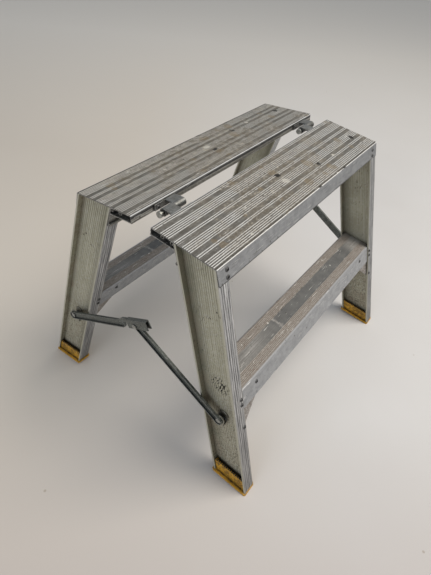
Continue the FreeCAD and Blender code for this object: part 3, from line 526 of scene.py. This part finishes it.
# Rivets: aluminium blind rivets with low domed heads, pulled up from one side. They have gone dark grey
# with age and the grease of many hands, so they show as dull dots on the brighter skirts and flanges.
material, tree = new_material("rivet heads, tarnished aluminium")
place = add(tree, "TexCoord").node.outputs["Object"]
rub = add(tree, "TexNoise", place, 1 / 0.003, 3.0, 0.55)
metal = grade(tree, linear("434342"), rub, 0.35, 0.65, linear("6b6b6b"))
bump = add(tree, "Bump", Strength=0.25, Distance=0.0002, Height=rub)
rough = add(tree, "MapRange", rub, 0.3, 0.7, 0.42, 0.6)
surface = add(tree, "BsdfPrincipled", Base_Color=metal, Metallic=0.7, Roughness=rough, Normal=bump)
add(tree, "OutputMaterial", surface)
rivet_groups = [name for name in nodes if name.endswith("_rivets")]
give(material, *rivet_groups)


# Mandrel stubs: the broken steel mandrel sits in each blind rivet's hollow, coloured nearly black,
# partly as its tarnish and partly as painted shade of the hollow. One disc is repeated at every rivet of a
# half.
flange_out = Vector((0, math.cos(leg_angle), math.sin(leg_angle)))
web_out = Vector((math.cos(end_angle), 0, math.sin(end_angle)))
stub_radius = 0.0026
hollow_depth = 0.0015
stub_rise = 0.0006
rim_depth = 0.0022


def separate_solids(mesh):
    """Corner positions of each closed solid in a mesh of loose triangles."""
    owner = {}

    def root(key):
        while owner[key] != key:
            owner[key] = owner[owner[key]]
            key = owner[key]
        return key

    keys = [tuple(round(c, 6) for c in vertex.co) for vertex in mesh.vertices]
    for key in keys:
        owner.setdefault(key, key)
    for face in mesh.polygons:
        first = root(keys[face.vertices[0]])
        for index in face.vertices[1:]:
            owner[root(keys[index])] = first
    groups = {}
    for key in owner:
        groups.setdefault(root(key), []).append(Vector(key))
    return list(groups.values())


def girth(corners, centre, facing):
    """How far corners lie at most from the line through centre that runs along facing."""
    return max((c - centre - facing * (c - centre).dot(facing)).length for c in corners)


def head_of(corners, normal):
    """Middle of a rivet's rim and the way it faces, given the line that its axis lies on."""
    best = None
    for facing in (normal, -normal):
        top = max(corner.dot(facing) for corner in corners)
        rim = [corner for corner in corners if top - corner.dot(facing) < rim_depth]
        centre = sum(rim, Vector()) / len(rim)
        reach = girth(rim, centre, facing)
        if best is None or reach > best[0]:
            best = (reach, centre + facing * (top - centre.dot(facing)), facing)
    return best[1:]


def rivet_axes(name):
    """The directions that a rivet of this group may point in, in the row's frame."""
    level = {"hinge": Vector((0, 1, 0))}.get(name.split("_")[1], flange_out)
    choices = [level]
    if "bracket" in name:
        choices = [web_out, Vector((-web_out.x, 0, web_out.z))]
    half = half_of(name)
    turned = []
    for axis in choices:
        y = axis.y * math.cos(tilt) + axis.z * math.sin(tilt)
        turned.append(Vector((axis.x, y * half, -axis.y * math.sin(tilt) + axis.z * math.cos(tilt))))
    return turned


def stub_tree():
    """Geometry Nodes: a domed disc at each point, turned to face along the point's normal."""
    tree = bpy.data.node_groups.new("mandrel stubs", "GeometryNodeTree")
    tree.interface.new_socket("Rivets", in_out="INPUT", socket_type="NodeSocketGeometry")
    tree.interface.new_socket("Radius", in_out="INPUT", socket_type="NodeSocketFloat")
    tree.interface.new_socket("Rise", in_out="INPUT", socket_type="NodeSocketFloat")
    tree.interface.new_socket("Finish", in_out="INPUT", socket_type="NodeSocketMaterial")
    tree.interface.new_socket("Stubs", in_out="OUTPUT", socket_type="NodeSocketGeometry")

    given = add(tree, "NodeGroupInput").node.outputs
    ball = add(tree, "GeometryNodeMeshUVSphere", Segments=16, Rings=8, Radius=given["Radius"])
    flatness = add(tree, "Math", given["Rise"], given["Radius"], operation="DIVIDE")
    squash = add(tree, "CombineXYZ", 1.0, 1.0, flatness)
    dome = add(tree, "GeometryNodeTransform", Geometry=ball, Scale=squash)
    facing = add(tree, "GeometryNodeInputNamedAttribute", "facing", data_type="FLOAT_VECTOR")
    turn = add(tree, "FunctionNodeAlignRotationToVector", Vector=facing, axis="Z")
    placed = add(tree, "GeometryNodeInstanceOnPoints", given["Rivets"], Instance=dome, Rotation=turn)
    plain = add(tree, "GeometryNodeRealizeInstances", placed)
    finished = add(tree, "GeometryNodeSetMaterial", plain, Material=given["Finish"])
    add(tree, "NodeGroupOutput", finished)
    return tree


# Nearly black steel: partly tarnish, partly painted shade of the rivet's hollow
mandrel_steel_in_shade, tree = new_material("mandrel stubs, dark steel in painted shade")
place = add(tree, "TexCoord").node.outputs["Object"]
stub_mottle = add(tree, "TexNoise", place, 1 / 0.002, 3.0, 0.55)
metal = grade(tree, linear("161510"), stub_mottle, 0.35, 0.65, linear("312e29"))
rough = add(tree, "MapRange", stub_mottle, 0.3, 0.7, 0.5, 0.75)
add(tree, "OutputMaterial", add(tree, "BsdfPrincipled", Base_Color=metal, Metallic=0.5, Roughness=rough))
stubs = stub_tree()
for side in ("back", "front"):
    spots = []
    for name in rivet_groups:
        if name.startswith(side):
            for corners in separate_solids(nodes[name].data):
                heads = []
                for axis in rivet_axes(name):
                    centre, facing = head_of(corners, axis)
                    heads.append((girth(corners, centre, facing), centre, facing))
                heads.sort(key=lambda head: head[0])
                spots.append(heads[0][1:])
    points = bpy.data.meshes.new(side + "_rivet_points")
    points.from_pydata([centre - facing * hollow_depth for centre, facing in spots], [], [])
    facings = points.attributes.new("facing", "FLOAT_VECTOR", "POINT")
    for index, (centre, facing) in enumerate(spots):
        facings.data[index].vector = facing
    seed = bpy.data.objects.new(side + "_rivet_points", points)
    bpy.context.scene.collection.objects.link(seed)
    modifier = seed.modifiers.new("stubs", "NODES")
    modifier.node_group = stubs
    inputs = {item.name: item.identifier for item in stubs.interface.items_tree if item.in_out == "INPUT"}
    modifier[inputs["Radius"]] = stub_radius
    modifier[inputs["Rise"]] = stub_rise
    modifier[inputs["Finish"]] = mandrel_steel_in_shade
    graph = bpy.context.evaluated_depsgraph_get()
    plain = bpy.data.meshes.new_from_object(seed.evaluated_get(graph), depsgraph=graph)
    bpy.data.objects.remove(seed)
    for polygon in plain.polygons:
        polygon.use_smooth = True
    piece = bpy.data.objects.new(side + "_mandrel_stubs", plain)
    bpy.context.scene.collection.objects.link(piece)
    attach(piece, side + "_half")


# Spreaders: pressed steel channels, zinc plated and gone dull grey, that fold up at the middle. Their
# brackets on the stiles are the same steel under the stiles' dust.
def plated_steel(name, light, dark, shine, dusty):
    """Zinc plate, dusty, with edges lightened partly by wear and partly as a painted highlight, and painted
    shade in its channels and corners. Its spangle and specks are coarser than real, to show.
    """
    material, tree = new_material(name)
    place = add(tree, "TexCoord").node.outputs["Object"]
    bloom = add(tree, "TexNoise", place, 1 / 0.012, 6.0, 0.7)
    spangle = add(tree, "TexNoise", place, 1 / 0.0025, 2.0, 0.55)
    metal = grade(tree, linear(dark), bloom, 0.36, 0.64, linear(light))
    metal = grade(tree, metal, spangle, 0.45, 0.7, linear("c9cac8"), 0.3)
    dust = add(tree, "TexNoise", place, 1 / 0.02, 5.0, 0.7)
    metal = grade(tree, metal, dust, 0.45, 0.65, linear("746a59"), dusty)
    metal = coat(tree, metal, specks(tree, place, 0.009, 0.0025, 0.25), 0.6, linear("dcdcda"))
    # Edges lightened, partly as wear and partly as a painted highlight
    bevel = add(tree, "Bevel", samples=4, Radius=0.0007)
    flat = add(tree, "NewGeometry").node.outputs["Normal"]
    edge_wear_and_highlight = add(tree, "VectorMath", bevel, flat, operation="DOT_PRODUCT")
    metal = grade(tree, metal, edge_wear_and_highlight, 0.985, 0.90, linear("d4d4d0"), 0.45)
    bump = add(tree, "Bump", Strength=0.2, Distance=0.0002, Height=bloom, Normal=bevel)
    # Painted shade: insides of the channels and corners are painted nearly black
    metal = coat(tree, metal, crevice_dirt_and_shade(tree, 0.030), 0.95, linear("12110c"))
    rough = add(tree, "MapRange", bloom, 0.3, 0.7, 0.36, 0.56)
    surface = add(tree, "BsdfPrincipled", Base_Color=metal, Metallic=shine, Roughness=rough, Normal=bump)
    add(tree, "OutputMaterial", surface)
    return material


link_names = [name for name in nodes if name.endswith("_link")]
bracket_names = [name for name in nodes if name.endswith("spreader_bracket")]
pivot_names = [name for name in nodes if name.endswith(("pivot_rivet", "middle_rivet", "rivet_tails"))]
give(plated_steel("spreader links, dull zinc plate", "666a64", "434742", 0.7, 0.15), *link_names)
give(plated_steel("spreader brackets, dusty zinc plate", "a8a493", "85806f", 0.45, 0.5), *bracket_names)
give(plated_steel("spreader pivots, rubbed zinc plate", "b9bab6", "85867f", 0.9, 0.2), *pivot_names)


# Barrel hinges: thick steel leaves with turned pins and washers, zinc plated. The barrels are rubbed
# bright, and the leaves are a flat mid grey.
leaf_names = [name for name in nodes if name.endswith("hinge_leaf")]
pin_names = [name for name in nodes if name.endswith(("hinge_pin", "hinge_washer"))]
give(plated_steel("hinge leaves, rubbed zinc plate", "8d8e8c", "666764", 0.85, 0.3), *leaf_names)
give(plated_steel("hinge pins, turned and plated steel", "b4b5ae", "7f807b", 0.95, 0.15), *pin_names)


# Feet: yellow moulded polypropylene plugs with a flat pad under each stile. Scuffed and dirty, with dirt
# and painted shade on the ledge inside each stile, and a black toothed line of painted shade along the
# top of each plug.
sole = extent("back_left_stile", lambda x, y, z: z)[0]
for half, side in ((1, "back"), (-1, "front")):
    material, tree = new_material(side + " feet, dirty yellow polypropylene")
    place = level_place(tree, half)
    inward, across, z = leg_place(tree, half)
    cast = add(tree, "TexNoise", place, 1 / 0.03, 4.0, 0.55)
    plastic = grade(tree, linear("a37a1c"), cast, 0.35, 0.65, linear("c8952a"))
    film = add(tree, "MapRange", add(tree, "TexNoise", place, 1 / 0.008, 5.0, 0.78), 0.45, 0.57, 0.0, 0.85)
    off_pad = add(tree, "MapRange", z, sole + 0.001, sole + 0.007, 0.35, 1.0)
    film = add(tree, "Math", film, off_pad, operation="MULTIPLY")
    plastic = add(tree, "Mix", film, plastic, linear("573e0e"), data_type="RGBA")
    # Dirt and painted shade on the ledge inside the stile
    lumps = add(tree, "TexNoise", place, 1 / 0.006, 4.0, 0.55)
    lumps = add(tree, "MapRange", lumps, 0.35, 0.6, 0.35, 0.95)
    ledge_dirt_and_shade = add(tree, "MapRange", z, sole + 0.008, sole + 0.001)
    ledge_dirt_and_shade = add(tree, "Math", ledge_dirt_and_shade, lumps, operation="MULTIPLY")
    from_middle = away_from(tree, across, stile_span / 2)
    within = add(tree, "MapRange", from_middle, stile_span / 2, stile_span / 2 - 0.003)
    from_middle = away_from(tree, inward, stile_depth / 2)
    inside = add(tree, "MapRange", from_middle, stile_depth / 2 + 0.0005, stile_depth / 2 - 0.0005)
    within = add(tree, "Math", within, inside, operation="MULTIPLY")
    plastic = coat(tree, plastic, ledge_dirt_and_shade, within, linear("3d2c12"))
    # Painted shade: a black toothed line along the top of the plug, in the gap where it meets the web
    rim = add(tree, "MapRange", z, sole + 0.0293, sole + 0.0303)
    middle = add(tree, "Math", across, stile_span / 2, operation="SUBTRACT")
    teeth = add(tree, "MapRange", stripes(tree, middle, web_groove_pitch, 0.6), 0, 1, 0.2, 1.0)
    plastic = coat(tree, plastic, rim, teeth, linear("17130b"))
    plastic = coat(tree, plastic, specks(tree, place, 0.006, 0.0025, 0.45), 0.7, linear("2e230f"))
    pits = add(tree, "TexNoise", place, 1 / 0.004, 4.0, 0.55)
    bump = add(tree, "Bump", Strength=0.35, Distance=0.0004, Height=pits)
    rough = add(tree, "MapRange", film, 0, 1, 0.42, 0.75)
    surface = add(tree, "BsdfPrincipled", Base_Color=plastic, Roughness=rough, IOR=1.49, Normal=bump)
    add(tree, "OutputMaterial", surface)
    give(material, side + "_left_foot", side + "_right_foot")
